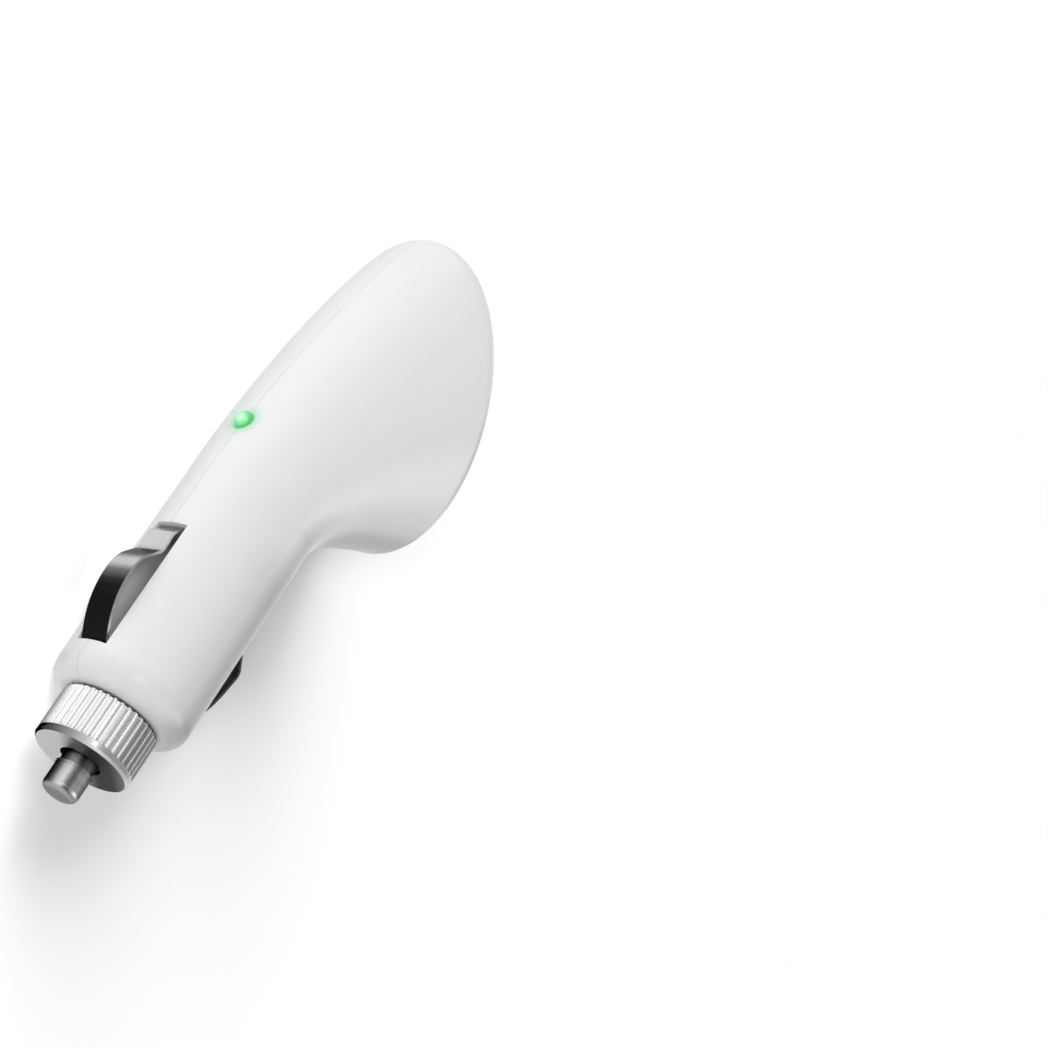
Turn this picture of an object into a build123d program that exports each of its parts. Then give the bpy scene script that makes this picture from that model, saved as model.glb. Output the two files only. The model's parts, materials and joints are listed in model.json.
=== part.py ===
from build123d import *
import math
import os

# A car charger that plugs into a 12 V socket and feeds one USB-A port. It is modelled along its own axis:
# X runs from the tip to the head, Z to the side of the lamp, and X is 0 at the front of the barrel.
# The two shells meet on the plane Y = 0. At the end every piece is laid on its side, as it comes to rest.

# Barrel, the part that goes into the car's socket
BARREL_RADIUS = 10.4
BARREL_LENGTH = 36.0
SHOULDER_FILLET = 3.0
WALL = 1.8
SEAM_GAP = 0.06

# Head, which flares from the barrel to an oval face that is cut at an angle and domed
FACE_REACH = 35.3
FACE_DROP = 12.0
FACE_ANGLE = 31.8
FACE_HALF_LENGTH = 25.1
FACE_HALF_WIDTH = 17.5
FACE_DOME = 10.5
RIM_FILLET = 3.0
TOP_START_HANDLE = 14.0
TOP_END_HANDLE = 11.5
TOP_END_ANGLE = -26.0
UNDER_START_HANDLE = 4.8
UNDER_END_HANDLE = 2.0
UNDER_END_ANGLE = -60.0
SIDE_START_SWELL = 1.1
SIDE_END_SWELL = 0.5
FLARE_STEPS = 7
DOME_STEPS = 4
DOME_END_SHARE = 0.1

# Nose: a stub on the shells and the fluted cap that screws over it
STUB_RADIUS = 6.2
STUB_LENGTH = 6.2
CAP_RADIUS = 7.25
CAP_LENGTH = 7.9
CAP_FRONT_WALL = 1.3
CAP_RUNNING_GAP = 0.08
CAP_END_GAP = 0.2
CAP_LIP = 1.1
CAP_CHAMFER = 0.35
FLUTE_COUNT = 40
FLUTE_RADIUS = 0.42
FLUTE_DEPTH = 0.3

# Tip pin, pushed forward by a spring behind the fuse
PIN_RADIUS = 2.7
PIN_REACH = 5.6
PIN_END_ROUND = 1.0
PIN_NECK_RADIUS = 2.5
PIN_BEAD_RADIUS = 2.8
PIN_BEAD_OUT = 1.5
PIN_BEAD_WIDTH = 0.3
PIN_FLANGE_RADIUS = 3.8
PIN_FLANGE_WIDTH = 1.2
PIN_TRAVEL = 4.0
SLIDING_GAP = 0.3
SEAT_GAP = 0.1

# Glass fuse of 5 by 20 mm
FUSE_LENGTH = 20.0
FUSE_CAP_RADIUS = 2.6
FUSE_CAP_LENGTH = 5.0
FUSE_CAP_SHEET = 0.25
FUSE_GLASS_GAP = 0.05
FUSE_GLASS_WALL = 0.45
FUSE_WIRE_RADIUS = 0.15

# Fuse spring, its tube in the shells and the brass plate that it bears on
SPRING_RADIUS = 2.0
SPRING_WIRE = 0.5
SPRING_LENGTH = 7.0
SPRING_TURNS = 6
FUSE_TUBE_WALL = 1.2
TERMINAL_SHEET = 0.6
TERMINAL_HALF_SIZE = 2.9
TERMINAL_TAB_LENGTH = 9.0
TERMINAL_TAB_WIDTH = 3.0
TERMINAL_BACKING = 1.2

# Side contacts: bent strips in slots on the lamp side and on the opposite side
SLOT_START = 4.75
SLOT_LENGTH = 20.85
SLOT_WIDTH = 5.8
SLOT_RIM = 1.2
STRIP_WIDTH = 4.8
STRIP_SHEET = 0.4
# Corners of each strip's middle line: share of the slot's length, height over the barrel, radius of the bend
UPPER_STRIP = (
    (0.024, -0.75, 0.5),
    (0.266, 2.62, 14.0),
    (0.59, 2.62, 5.0),
    (0.75, 0.1, 1.4),
    (0.894, 0.3, 0.8),
    (0.98, -0.95, 0.5),
)
LOWER_STRIP = (
    (0.024, -0.75, 0.5),
    (0.33, 2.0, 20.0),
    (0.62, 2.95, 1.6),
    (0.80, 0.2, 1.0),
    (0.93, 0.35, 0.8),
    (0.98, -0.95, 0.4),
)
STRIP_FOLD = UPPER_STRIP[-1][0]
STRIP_LIP = 0.5
RIB_RADIUS = 0.6
RIB_GAP = 0.08
RIB_DROP = 3.2
GROUND_WIRE_RADIUS = 0.4
GROUND_WIRE_START = 1.2
GROUND_WIRE_CLIMB = 0.65
GROUND_WIRE_BEND = 1.6
GROUND_WIRE_END = 3.0

# Circuit board, in a plane parallel to the seam
BOARD_SHEET = 1.4
BOARD_GAP = 0.25
BOARD_START = 27.6
BOARD_EDGE_INSET = 4.8
BOARD_END_INSET = 11.3
BOARD_PORT_HALF = 8.5
BOARD_PORT_NEAR = 4.8
BOARD_PORT_FAR = 24.0
HOLE_GAP = 0.1
LEAD_TAIL = 1.0

# USB-A socket behind the face
PORT_WIDTH = 13.1
PORT_HEIGHT = 5.7
PORT_DEPTH = 14.0
PORT_SHEET = 0.3
PORT_CORNER = 0.6
PORT_RECESS = 1.5
PORT_LEG_WIDTH = 1.6
PORT_LEG_DEPTH = 9.0
FINGER_WINDOW = (2.4, 6.0)
FINGER_SIZE = (1.6, 5.4)
FINGER_SPREAD = 3.2
APERTURE_GAP = 0.2
APERTURE_TAPER = 25.0
APERTURE_DEPTH = 7.0
TONGUE_WIDTH = 11.1
TONGUE_SHEET = 1.84
TONGUE_BACK_GAP = 0.65
TONGUE_SETBACK = 3.4
TONGUE_BASE = 3.0
TONGUE_BASE_GAP = 0.08
PAD_WIDTH = 1.0
PAD_SHEET = 0.25
PAD_SETBACK = 0.9
PAD_PLACES = (-3.5, -1.0, 1.0, 3.5)

# Green 3 mm lamp on the top line
LAMP_AT = 45.0
LAMP_RADIUS = 1.5
LAMP_FLANGE_RADIUS = 1.9
LAMP_FLANGE = 1.0
LAMP_PROUD = 1.4
LAMP_BODY = 5.3
LAMP_HOLE_GAP = 0.1
LAMP_LEAD = 0.45
LAMP_LEAD_PITCH = 2.54
LAMP_LEAD_DROP = 1.4

# Parts on the board: X and Z of their centres or their distance from the board's edges, then their sizes
CHIP_PLACE = (40.0, 0.2)
CHIP_LENGTH = 4.9
CHIP_WIDTH = 3.9
CHIP_HEIGHT = 1.5
CHIP_STANDOFF = 0.15
CHIP_LEG_PITCH = 1.27
CHIP_LEG_WIDTH = 0.42
CHIP_LEG_SHEET = 0.2
CHIP_LEG_REACH = 1.05
CHIP_LEGS_PER_SIDE = 4
COIL_PLACE = (49.0, -1.8)
COIL_FLANGE_RADIUS = 3.6
COIL_FLANGE = 1.1
COIL_CORE_RADIUS = 1.8
COIL_WINDING_RADIUS = 3.1
COIL_HEIGHT = 6.6
INPUT_CAN_PLACE = (33.9, 0.0)
INPUT_CAN_RADIUS = 2.5
INPUT_CAN_HEIGHT = 9.5
OUTPUT_CAN_INSET = 2.2
OUTPUT_CAN_Z = -1.2
OUTPUT_CAN_RADIUS = 3.15
OUTPUT_CAN_HEIGHT = 10.0
CAN_GROOVE = 0.3
CAN_GROOVE_AT = 1.6
DIODE_AT = 41.0
DIODE_EDGE_INSET = 0.9
DIODE_RADIUS = 1.2
DIODE_LENGTH = 4.4
LEAD_RADIUS = 0.3
DIODE_LEAD_SPAN = 7.6
RESISTOR_LENGTH = 2.0
RESISTOR_WIDTH = 1.25
RESISTOR_HEIGHT = 0.5
RESISTOR_PLACES = ((36.9, 4.3), (41.2, 4.3), (53.3, 3.6), (61.0, -6.5))

# Posts that hold the board, and the peg and socket that line up the shells
POST_RADIUS = 1.2
LEFT_POSTS = ((32.0, 4.0), (48.0, -4.3), (61.5, 1.6))
RIGHT_POSTS = ((34.9, -4.3), (63.0, -1.0))
BOSS_RADIUS = 2.4
BOSS_SPREAD = 13.9
BOSS_DEPTH = 11.6
PEG_RADIUS = 1.2
PEG_LENGTH = 3.0
PEG_GAP = 0.1

# Turns at which the part balances on its left side, touching at the barrel's shoulder and at the flare
REST_ROLL = 31.1
REST_PITCH = -1.04

# Larger than any piece, for cuts that go right through
FAR = 200.0

# Sizes that follow from the ones above
FACE_UP = Vector(math.cos(math.radians(FACE_ANGLE)), 0, math.sin(math.radians(FACE_ANGLE)))
FACE_OUT = Vector(FACE_UP.Z, 0, -FACE_UP.X)
FACE_CENTRE = Vector(BARREL_LENGTH + FACE_REACH, 0, -FACE_DROP)
FACE_TOP = FACE_CENTRE + FACE_UP * FACE_HALF_LENGTH
FACE_BOTTOM = FACE_CENTRE - FACE_UP * FACE_HALF_LENGTH
SUMMIT = FACE_CENTRE + FACE_OUT * FACE_DOME
CAP_BORE = STUB_RADIUS + CAP_RUNNING_GAP
CAP_INNER_FACE = CAP_FRONT_WALL - CAP_LENGTH
CAP_HOLE = PIN_BEAD_RADIUS + SLIDING_GAP
PIN_BACK = CAP_INNER_FACE + SEAT_GAP + PIN_FLANGE_WIDTH
STUB_BORE = PIN_FLANGE_RADIUS + SLIDING_GAP
STUB_BORE_END = PIN_BACK + PIN_TRAVEL + SLIDING_GAP
FUSE_END = PIN_BACK + FUSE_LENGTH
FUSE_BORE = FUSE_CAP_RADIUS + SLIDING_GAP
FUSE_TUBE = FUSE_BORE + FUSE_TUBE_WALL
FUSE_GLASS = FUSE_CAP_RADIUS - FUSE_CAP_SHEET - FUSE_GLASS_GAP
SPRING_END = FUSE_END + SPRING_LENGTH
TERMINAL_END = SPRING_END + TERMINAL_SHEET
SLOT_END = SLOT_START + SLOT_LENGTH
SLOT_FLOOR = FUSE_TUBE + SEAT_GAP
CURL_RADIUS = RIB_RADIUS + RIB_GAP
RIB_AT = SLOT_START + SLOT_LENGTH * STRIP_FOLD + STRIP_SHEET / 2 + CURL_RADIUS
RIB_HEIGHT = BARREL_RADIUS - RIB_DROP
POCKET_END = RIB_AT + CURL_RADIUS + STRIP_SHEET
BOARD_EDGE = BARREL_RADIUS - BOARD_EDGE_INSET
BOARD_REACH = FACE_CENTRE.X - BOARD_END_INSET
DIODE_PLACE = (DIODE_AT, DIODE_EDGE_INSET - BOARD_EDGE)
OUTPUT_CAN_PLACE = (BOARD_REACH - OUTPUT_CAN_INSET, OUTPUT_CAN_Z)
BOARD_INNER = PORT_HEIGHT / 2 + BOARD_GAP
BOARD_OUTER = BOARD_INNER + BOARD_SHEET
LEAD_END = BOARD_OUTER + LEAD_TAIL
PORT_INNER_HALF = PORT_HEIGHT / 2 - PORT_SHEET
PORT_BACK = PORT_RECESS + PORT_DEPTH
TONGUE_TOP = TONGUE_BACK_GAP + TONGUE_SHEET - PORT_INNER_HALF


def along(start, end, share):
    """Point at a share of the way from start to end."""
    return tuple(a + (b - a) * share for a, b in zip(start, end))


def bezier(points, v):
    """Point of a cubic curve at v, from 0 to 1."""
    while len(points) > 1:
        points = [along(a, b, v) for a, b in zip(points, points[1:])]
    return points[0]


def swing(length, angle):
    """X and Z of a length at an angle in degrees from the X axis."""
    return (length * math.cos(math.radians(angle)), length * math.sin(math.radians(angle)))


def top_line(v):
    """Upper edge of the head, seen from the side."""
    turn = swing(TOP_END_HANDLE, TOP_END_ANGLE)
    return bezier([
        (BARREL_LENGTH, BARREL_RADIUS),
        (BARREL_LENGTH + TOP_START_HANDLE, BARREL_RADIUS),
        (FACE_TOP.X - turn[0], FACE_TOP.Z - turn[1]),
        (FACE_TOP.X, FACE_TOP.Z),
    ], v)


def under_line(v):
    """Lower edge of the head, seen from the side."""
    turn = swing(UNDER_END_HANDLE, UNDER_END_ANGLE)
    return bezier([
        (BARREL_LENGTH, -BARREL_RADIUS),
        (BARREL_LENGTH + UNDER_START_HANDLE, -BARREL_RADIUS),
        (FACE_BOTTOM.X - turn[0], FACE_BOTTOM.Z - turn[1]),
        (FACE_BOTTOM.X, FACE_BOTTOM.Z),
    ], v)


def half_width(v):
    """Half the width of the head from the barrel to the rim of the face."""
    return bezier([
        (BARREL_RADIUS,),
        (BARREL_RADIUS + SIDE_START_SWELL,),
        (FACE_HALF_WIDTH - SIDE_END_SWELL,),
        (FACE_HALF_WIDTH,),
    ], v)[0]


def top_height(x):
    """Height of the upper edge at a place along the plug."""
    low, high = 0.0, 1.0
    while high - low > 1e-6:
        middle = (low + high) / 2
        low, high = (middle, high) if top_line(middle)[0] < x else (low, middle)
    return BARREL_RADIUS if x < BARREL_LENGTH else top_line(low)[1]


def flare_section(v, inset):
    """Oval section of the head between its upper and lower edges."""
    top, under = top_line(v), under_line(v)
    half = Vector(top[0] - under[0], 0, top[1] - under[1]) / 2
    centre = Vector(top[0] + under[0], 0, top[1] + under[1]) / 2
    plane = Plane(origin=centre, x_dir=half, z_dir=(half.Z, 0, -half.X))
    return plane * Ellipse(half.length - inset, half_width(v) - inset)


def face_plane(depth):
    """Plane parallel to the face, below its dome's top: X up the face, Y to the right shell, Z outward."""
    return Plane(origin=SUMMIT - FACE_OUT * depth, x_dir=FACE_UP, z_dir=FACE_OUT)


def dome_section(share, inset):
    """Oval section of the dome, at a share of the rim's size."""
    height = (FACE_DOME - inset) * (1 - share * share)
    size = (FACE_HALF_LENGTH - inset) * share, (FACE_HALF_WIDTH - inset) * share
    return face_plane(FACE_DOME - height) * Ellipse(*size)


def bar(radius, start, end):
    """Round bar along the plug's axis."""
    return Plane(origin=(start, 0, 0), z_dir=(1, 0, 0)) * extrude(Circle(radius), end - start)


def post(radius, place, start, end):
    """Round bar across the seam, at an X and Z, between two values of Y."""
    low, high = min(start, end), max(start, end)
    plane = Plane(origin=(place[0], low, place[1]), z_dir=(0, 1, 0))
    return plane * extrude(Circle(radius), high - low)


def turned(points):
    """Solid turned about the plug's axis from pairs of X and radius."""
    return revolve(Plane.XZ * make_face(Polyline(*points, close=True)), Axis.X)


def block(x, y, z):
    """Box from three pairs of limits."""
    size = [limits[1] - limits[0] for limits in (x, y, z)]
    centre = [(limits[0] + limits[1]) / 2 for limits in (x, y, z)]
    return Pos(*centre) * Box(*size)


def port_block(up, y, depth):
    """Box by limits up the face, across the seam, and below the top of the dome."""
    size = up[1] - up[0], y[1] - y[0], depth[1] - depth[0]
    plane = face_plane((depth[0] + depth[1]) / 2)
    return plane * (Pos((up[0] + up[1]) / 2, -(y[0] + y[1]) / 2, 0) * Box(*size))


def bent_sheet(points, bends, sheet):
    """Section of a sheet bent along points, with a radius at each corner."""
    middle = FilletPolyline(*points, radius=list(bends))
    return make_face(offset(middle, sheet / 2, side=Side.BOTH, kind=Kind.TANGENT).edges())


def about_axis(shape):
    """The same shape on the opposite side of the plug."""
    return Rot(X=180) * shape


def head(inset):
    """Flare and dome of the head as one solid."""
    flare = loft([flare_section(step / FLARE_STEPS, inset) for step in range(FLARE_STEPS + 1)])
    shares = [1 - step / DOME_STEPS * (1 - DOME_END_SHARE) for step in range(DOME_STEPS + 1)]
    return flare + loft([dome_section(share, inset) for share in shares])


def outer_body():
    """Outside of the housing, with its shoulder and the rim of the face rounded."""
    front = bar(BARREL_RADIUS, 0, BARREL_LENGTH)
    front = fillet(front.edges().filter_by(GeomType.CIRCLE).sort_by(Axis.X)[0], SHOULDER_FILLET)
    end = head(0)
    rim = [edge for edge in end.edges() if abs((edge @ 0.25 - FACE_CENTRE).dot(FACE_OUT)) < SEAT_GAP]
    return front + fillet(rim, RIM_FILLET)


def cavity():
    """Space inside the housing."""
    return bar(BARREL_RADIUS - WALL, WALL, BARREL_LENGTH) + head(WALL)


def slot_surround():
    """Walls round the pocket of one side contact."""
    half = SLOT_WIDTH / 2 + SLOT_RIM
    box = block((SLOT_START - SLOT_RIM, POCKET_END), (-half, half), (0, BARREL_RADIUS))
    return box & bar(BARREL_RADIUS - WALL / 2, 0, BARREL_LENGTH)


def slot_cut():
    """Slot and pocket of one side contact."""
    half = SLOT_WIDTH / 2
    slot = block((SLOT_START, SLOT_END), (-half, half), (SLOT_FLOOR, FAR))
    return slot + block((SLOT_START, POCKET_END), (-half, half), (SLOT_FLOOR, BARREL_RADIUS - WALL))


def contact_rib():
    """Round rib across the rear of the pocket, on which the side contact turns."""
    half = SLOT_WIDTH / 2 + SLOT_RIM / 2
    return post(RIB_RADIUS, (RIB_AT, RIB_HEIGHT), -half, half)


def wire_path():
    """Route of one ground wire, from behind its contact to the outer face of the board."""
    x = POCKET_END + SLIDING_GAP + GROUND_WIRE_RADIUS
    lane = BOARD_OUTER + GROUND_WIRE_RADIUS
    return FilletPolyline(
        (x, GROUND_WIRE_START, RIB_HEIGHT),
        (x, lane, BOARD_EDGE + GROUND_WIRE_CLIMB),
        (BOARD_START + GROUND_WIRE_END, lane, BOARD_EDGE - GROUND_WIRE_RADIUS),
        radius=GROUND_WIRE_BEND,
    )


def wire():
    """One ground wire."""
    path = wire_path()
    return sweep(Plane(origin=path @ 0, z_dir=path % 0) * Circle(GROUND_WIRE_RADIUS), path=path)


def terminal():
    """Brass plate behind the fuse spring, with a tab that lies on the board."""
    plate = block((SPRING_END, TERMINAL_END), *[(-TERMINAL_HALF_SIZE, TERMINAL_HALF_SIZE)] * 2)
    tab = block(
        (SPRING_END, SPRING_END + TERMINAL_TAB_LENGTH),
        (BOARD_INNER - TERMINAL_SHEET, BOARD_INNER),
        (-TERMINAL_TAB_WIDTH / 2, TERMINAL_TAB_WIDTH / 2),
    )
    return plate + tab


def terminal_recess():
    """Room for the brass plate and its tab in the fuse tube."""
    half = TERMINAL_HALF_SIZE + SEAT_GAP
    tab_half = TERMINAL_TAB_WIDTH / 2 + SEAT_GAP
    plate = block((SPRING_END - SEAT_GAP, TERMINAL_END), (-half, half), (-half, half))
    tab = block(
        (SPRING_END - SEAT_GAP, SPRING_END + TERMINAL_TAB_LENGTH),
        (BOARD_INNER - TERMINAL_SHEET - SEAT_GAP, BOARD_OUTER),
        (-tab_half, tab_half),
    )
    return plate + tab


def aperture():
    """Opening in the face for the USB socket, widening outward."""
    outline = RectangleRounded(
        PORT_WIDTH + 2 * APERTURE_GAP, PORT_HEIGHT + 2 * APERTURE_GAP, PORT_CORNER + APERTURE_GAP
    )
    throat = face_plane(APERTURE_DEPTH) * extrude(outline, APERTURE_DEPTH - PORT_RECESS)
    mouth = face_plane(PORT_RECESS) * extrude(outline, 2 * PORT_RECESS, taper=-APERTURE_TAPER)
    return throat + mouth


def housing():
    """Both shells as one solid, before they are parted on the seam."""
    shell = outer_body() - cavity()
    surround = slot_surround()
    tube = bar(FUSE_TUBE, 0, TERMINAL_END + TERMINAL_BACKING)
    shell += [bar(STUB_RADIUS, -STUB_LENGTH, WALL), tube, surround, about_axis(surround)]
    slot, rib = slot_cut(), contact_rib()
    shell = shell - [slot, about_axis(slot)] + [rib, about_axis(rib)]
    lamp_hole = Pos(LAMP_AT, 0, 0) * Cylinder(
        LAMP_RADIUS + LAMP_HOLE_GAP, FAR, align=(Align.CENTER, Align.CENTER, Align.MIN)
    )
    bores = [bar(STUB_BORE, -STUB_LENGTH, STUB_BORE_END), bar(FUSE_BORE, STUB_BORE_END, SPRING_END)]
    return shell - [lamp_hole, aperture(), *bores, terminal_recess()]


def half_space(side):
    """Everything on one side of the seam."""
    near, far = side * SEAM_GAP / 2, side * FAR
    return block((-FAR, FAR), (min(near, far), max(near, far)), (-FAR, FAR))


def boss_places():
    """X and Z of the two bosses, above and below the socket."""
    middle = SUMMIT - FACE_OUT * BOSS_DEPTH
    ends = [middle + FACE_UP * (sign * BOSS_SPREAD) for sign in (1, -1)]
    return [(end.X, end.Z) for end in ends]


def left_shell(whole, outside):
    """Shell on the side of the board, with posts under the board and pegs."""
    near = SEAM_GAP / 2
    posts = [post(POST_RADIUS, place, BOARD_OUTER, FAR) for place in LEFT_POSTS]
    posts += [post(BOSS_RADIUS, place, near, FAR) for place in boss_places()]
    shell = (whole & half_space(1)) + [piece & outside for piece in posts]
    return shell + [post(PEG_RADIUS, place, -PEG_LENGTH, near + SEAT_GAP) for place in boss_places()]


def right_shell(whole, outside):
    """Shell on the other side, with posts that press on the board and sockets for the pegs."""
    near = -SEAM_GAP / 2
    posts = [post(POST_RADIUS, place, BOARD_INNER, -FAR) for place in RIGHT_POSTS]
    posts += [post(BOSS_RADIUS, place, near, -FAR) for place in boss_places()]
    shell = (whole & half_space(-1)) + [piece & outside for piece in posts]
    hole_end = -PEG_LENGTH - SLIDING_GAP
    return shell - [post(PEG_RADIUS + PEG_GAP, place, hole_end, 0) for place in boss_places()]


def nose_cap():
    """Fluted cap with a plain lip in front."""
    cap = turned([
        (-CAP_END_GAP, CAP_BORE),
        (-CAP_END_GAP, CAP_RADIUS - CAP_CHAMFER),
        (-CAP_END_GAP - CAP_CHAMFER, CAP_RADIUS),
        (CAP_CHAMFER - CAP_LENGTH, CAP_RADIUS),
        (-CAP_LENGTH, CAP_RADIUS - CAP_CHAMFER),
        (-CAP_LENGTH, CAP_HOLE),
        (CAP_INNER_FACE, CAP_HOLE),
        (CAP_INNER_FACE, CAP_BORE),
    ])
    flute = Pos(0, 0, CAP_RADIUS + FLUTE_RADIUS - FLUTE_DEPTH) * bar(FLUTE_RADIUS, CAP_LIP - CAP_LENGTH, 0)
    return cap - [Rot(X=360 * step / FLUTE_COUNT) * flute for step in range(FLUTE_COUNT)]


def tip_pin():
    """Turned tip with a bead, a neck behind it and the flange that keeps it in the cap."""
    end = -CAP_LENGTH - PIN_REACH
    bead = -CAP_LENGTH - PIN_BEAD_OUT
    pin = turned([
        (end, 0),
        (end, PIN_RADIUS),
        (bead - PIN_BEAD_WIDTH, PIN_RADIUS),
        (bead - PIN_BEAD_WIDTH, PIN_BEAD_RADIUS),
        (bead, PIN_BEAD_RADIUS),
        (bead, PIN_NECK_RADIUS),
        (PIN_BACK - PIN_FLANGE_WIDTH, PIN_NECK_RADIUS),
        (PIN_BACK - PIN_FLANGE_WIDTH, PIN_FLANGE_RADIUS),
        (PIN_BACK, PIN_FLANGE_RADIUS),
        (PIN_BACK, 0),
    ])
    return fillet(pin.edges().filter_by(GeomType.CIRCLE).sort_by(Axis.X)[0], PIN_END_ROUND)


def fuse_cap(start, mouth):
    """Cup on one end of the fuse, from its closed end to its mouth."""
    sheet = math.copysign(FUSE_CAP_SHEET, mouth - start)
    return turned([
        (start, 0),
        (start, FUSE_CAP_RADIUS),
        (mouth, FUSE_CAP_RADIUS),
        (mouth, FUSE_CAP_RADIUS - FUSE_CAP_SHEET),
        (start + sheet, FUSE_CAP_RADIUS - FUSE_CAP_SHEET),
        (start + sheet, 0),
    ])


def fuse_glass():
    """Glass tube between the two cups."""
    ends = PIN_BACK + FUSE_CAP_SHEET, FUSE_END - FUSE_CAP_SHEET
    return bar(FUSE_GLASS, *ends) - bar(FUSE_GLASS - FUSE_GLASS_WALL, *ends)


def fuse_wire():
    """Melting wire along the middle of the glass."""
    return bar(FUSE_WIRE_RADIUS, PIN_BACK + FUSE_CAP_SHEET, FUSE_END - FUSE_CAP_SHEET)


def fuse_spring():
    """Coil spring between the fuse and the brass plate."""
    height = SPRING_LENGTH - SPRING_WIRE
    path = Helix(height / SPRING_TURNS, height, SPRING_RADIUS, (FUSE_END + SPRING_WIRE / 2, 0, 0), (1, 0, 0))
    return sweep(Plane(origin=path @ 0, z_dir=path % 0) * Circle(SPRING_WIRE / 2), path=path, is_frenet=True)


def side_contact(corners):
    """Bent strip: lip, ramp, crest, step, flat, fold, and the curl that hooks round the rib."""
    line = [(SLOT_START + SLOT_LENGTH * share, BARREL_RADIUS + height) for share, height, bend in corners]
    lip = (line[0][0], line[0][1] - STRIP_LIP)
    bends = [bend for share, height, bend in corners]
    strip = bent_sheet([lip] + line + [(line[-1][0], RIB_HEIGHT)], bends, STRIP_SHEET)
    ring = Circle(CURL_RADIUS + STRIP_SHEET) - Circle(CURL_RADIUS)
    curl = Pos(RIB_AT, RIB_HEIGHT) * (ring & Rectangle(FAR, FAR, align=(Align.CENTER, Align.MAX)))
    return extrude(Plane.XZ * (strip + curl), STRIP_WIDTH / 2, both=True)


def ground_wires():
    """One wire for each side contact."""
    upper = wire()
    return Compound(children=[upper, mirror(upper, Plane.XY)])


def port_shell():
    """Metal box of the USB socket, with spring fingers and legs through the board."""
    outline = RectangleRounded(PORT_WIDTH, PORT_HEIGHT, PORT_CORNER)
    room = RectangleRounded(
        PORT_WIDTH - 2 * PORT_SHEET, PORT_HEIGHT - 2 * PORT_SHEET, PORT_CORNER - PORT_SHEET
    )
    shell = face_plane(PORT_BACK) * extrude(outline - room, PORT_DEPTH)
    return shell - finger_cuts() + port_legs(0)


def finger_cuts():
    """Slits round the spring fingers in both wide walls."""
    cuts = []
    near = PORT_RECESS + TONGUE_SETBACK
    for up in (-FINGER_SPREAD, FINGER_SPREAD):
        window = [(up - size / 2, up + size / 2) for size in (FINGER_WINDOW[0], FINGER_SIZE[0])]
        hole = port_block(window[0], (-FAR, FAR), (near, near + FINGER_WINDOW[1]))
        finger = port_block(window[1], (-FAR, FAR), (near + FINGER_WINDOW[1] - FINGER_SIZE[1], near + FAR))
        cuts.append(hole - finger)
    return cuts


def port_legs(gap):
    """Legs of the USB socket, or the holes for them."""
    legs = []
    side = PORT_WIDTH / 2
    for up in ((-side - gap, PORT_SHEET - side + gap), (side - PORT_SHEET - gap, side + gap)):
        depth = PORT_LEG_DEPTH - PORT_LEG_WIDTH / 2 - gap, PORT_LEG_DEPTH + PORT_LEG_WIDTH / 2 + gap
        legs.append(port_block(up, (0, LEAD_END + gap), depth))
    return legs


def port_tongue():
    """Insulator of the USB socket: a base across the back and the tongue."""
    half_up = PORT_WIDTH / 2 - PORT_SHEET - TONGUE_BASE_GAP
    half_y = PORT_INNER_HALF - TONGUE_BASE_GAP
    base = port_block((-half_up, half_up), (-half_y, half_y), (PORT_BACK - TONGUE_BASE, PORT_BACK))
    tongue = port_block(
        (-TONGUE_WIDTH / 2, TONGUE_WIDTH / 2),
        (TONGUE_TOP - TONGUE_SHEET, TONGUE_TOP),
        (PORT_RECESS + TONGUE_SETBACK, PORT_BACK),
    )
    return base + tongue - port_contacts(0)


def port_contacts(gap):
    """Four contact blades of the USB socket with their tails, or the holes for the tails."""
    blades = []
    for place in PAD_PLACES:
        up = place - PAD_WIDTH / 2 - gap, place + PAD_WIDTH / 2 + gap
        blade = port_block(
            up, (TONGUE_TOP, TONGUE_TOP + PAD_SHEET), (PORT_RECESS + TONGUE_SETBACK + PAD_SETBACK, PORT_BACK)
        )
        tail = port_block(up, (TONGUE_TOP, LEAD_END + gap), (PORT_BACK - gap, PORT_BACK + PAD_SHEET + gap))
        blades.append(blade + tail)
    return blades


def lamp_base():
    """Height of the lamp's underside."""
    return top_height(LAMP_AT) + LAMP_PROUD - LAMP_BODY


def lamp_lens():
    """Lamp with a round end and a flange."""
    base = lamp_base()
    dome = base + LAMP_BODY - LAMP_RADIUS
    bottom = (Align.CENTER, Align.CENTER, Align.MIN)
    lens = Pos(LAMP_AT, 0, base) * Cylinder(LAMP_FLANGE_RADIUS, LAMP_FLANGE, align=bottom)
    lens += Pos(LAMP_AT, 0, base) * Cylinder(LAMP_RADIUS, dome - base, align=bottom)
    return lens + Pos(LAMP_AT, 0, dome) * Sphere(LAMP_RADIUS)


def lamp_leads(gap):
    """Two leads that turn from the lamp to the board, or the holes for them."""
    pair = []
    base = lamp_base()
    half = LAMP_LEAD / 2 + gap
    for side in (-1, 1):
        x = LAMP_AT + side * LAMP_LEAD_PITCH / 2
        drop = block((x - half, x + half), (-half, half), (base - LAMP_LEAD_DROP - half, base))
        level = base - LAMP_LEAD_DROP
        across = block((x - half, x + half), (-half, LEAD_END + gap), (level - half, level + half))
        pair.append(drop + across)
    return pair


def chip_body():
    """Body of the converter chip."""
    x, z = CHIP_PLACE
    top = BOARD_INNER - CHIP_STANDOFF
    return block(
        (x - CHIP_LENGTH / 2, x + CHIP_LENGTH / 2),
        (top - CHIP_HEIGHT, top),
        (z - CHIP_WIDTH / 2, z + CHIP_WIDTH / 2),
    )


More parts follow.
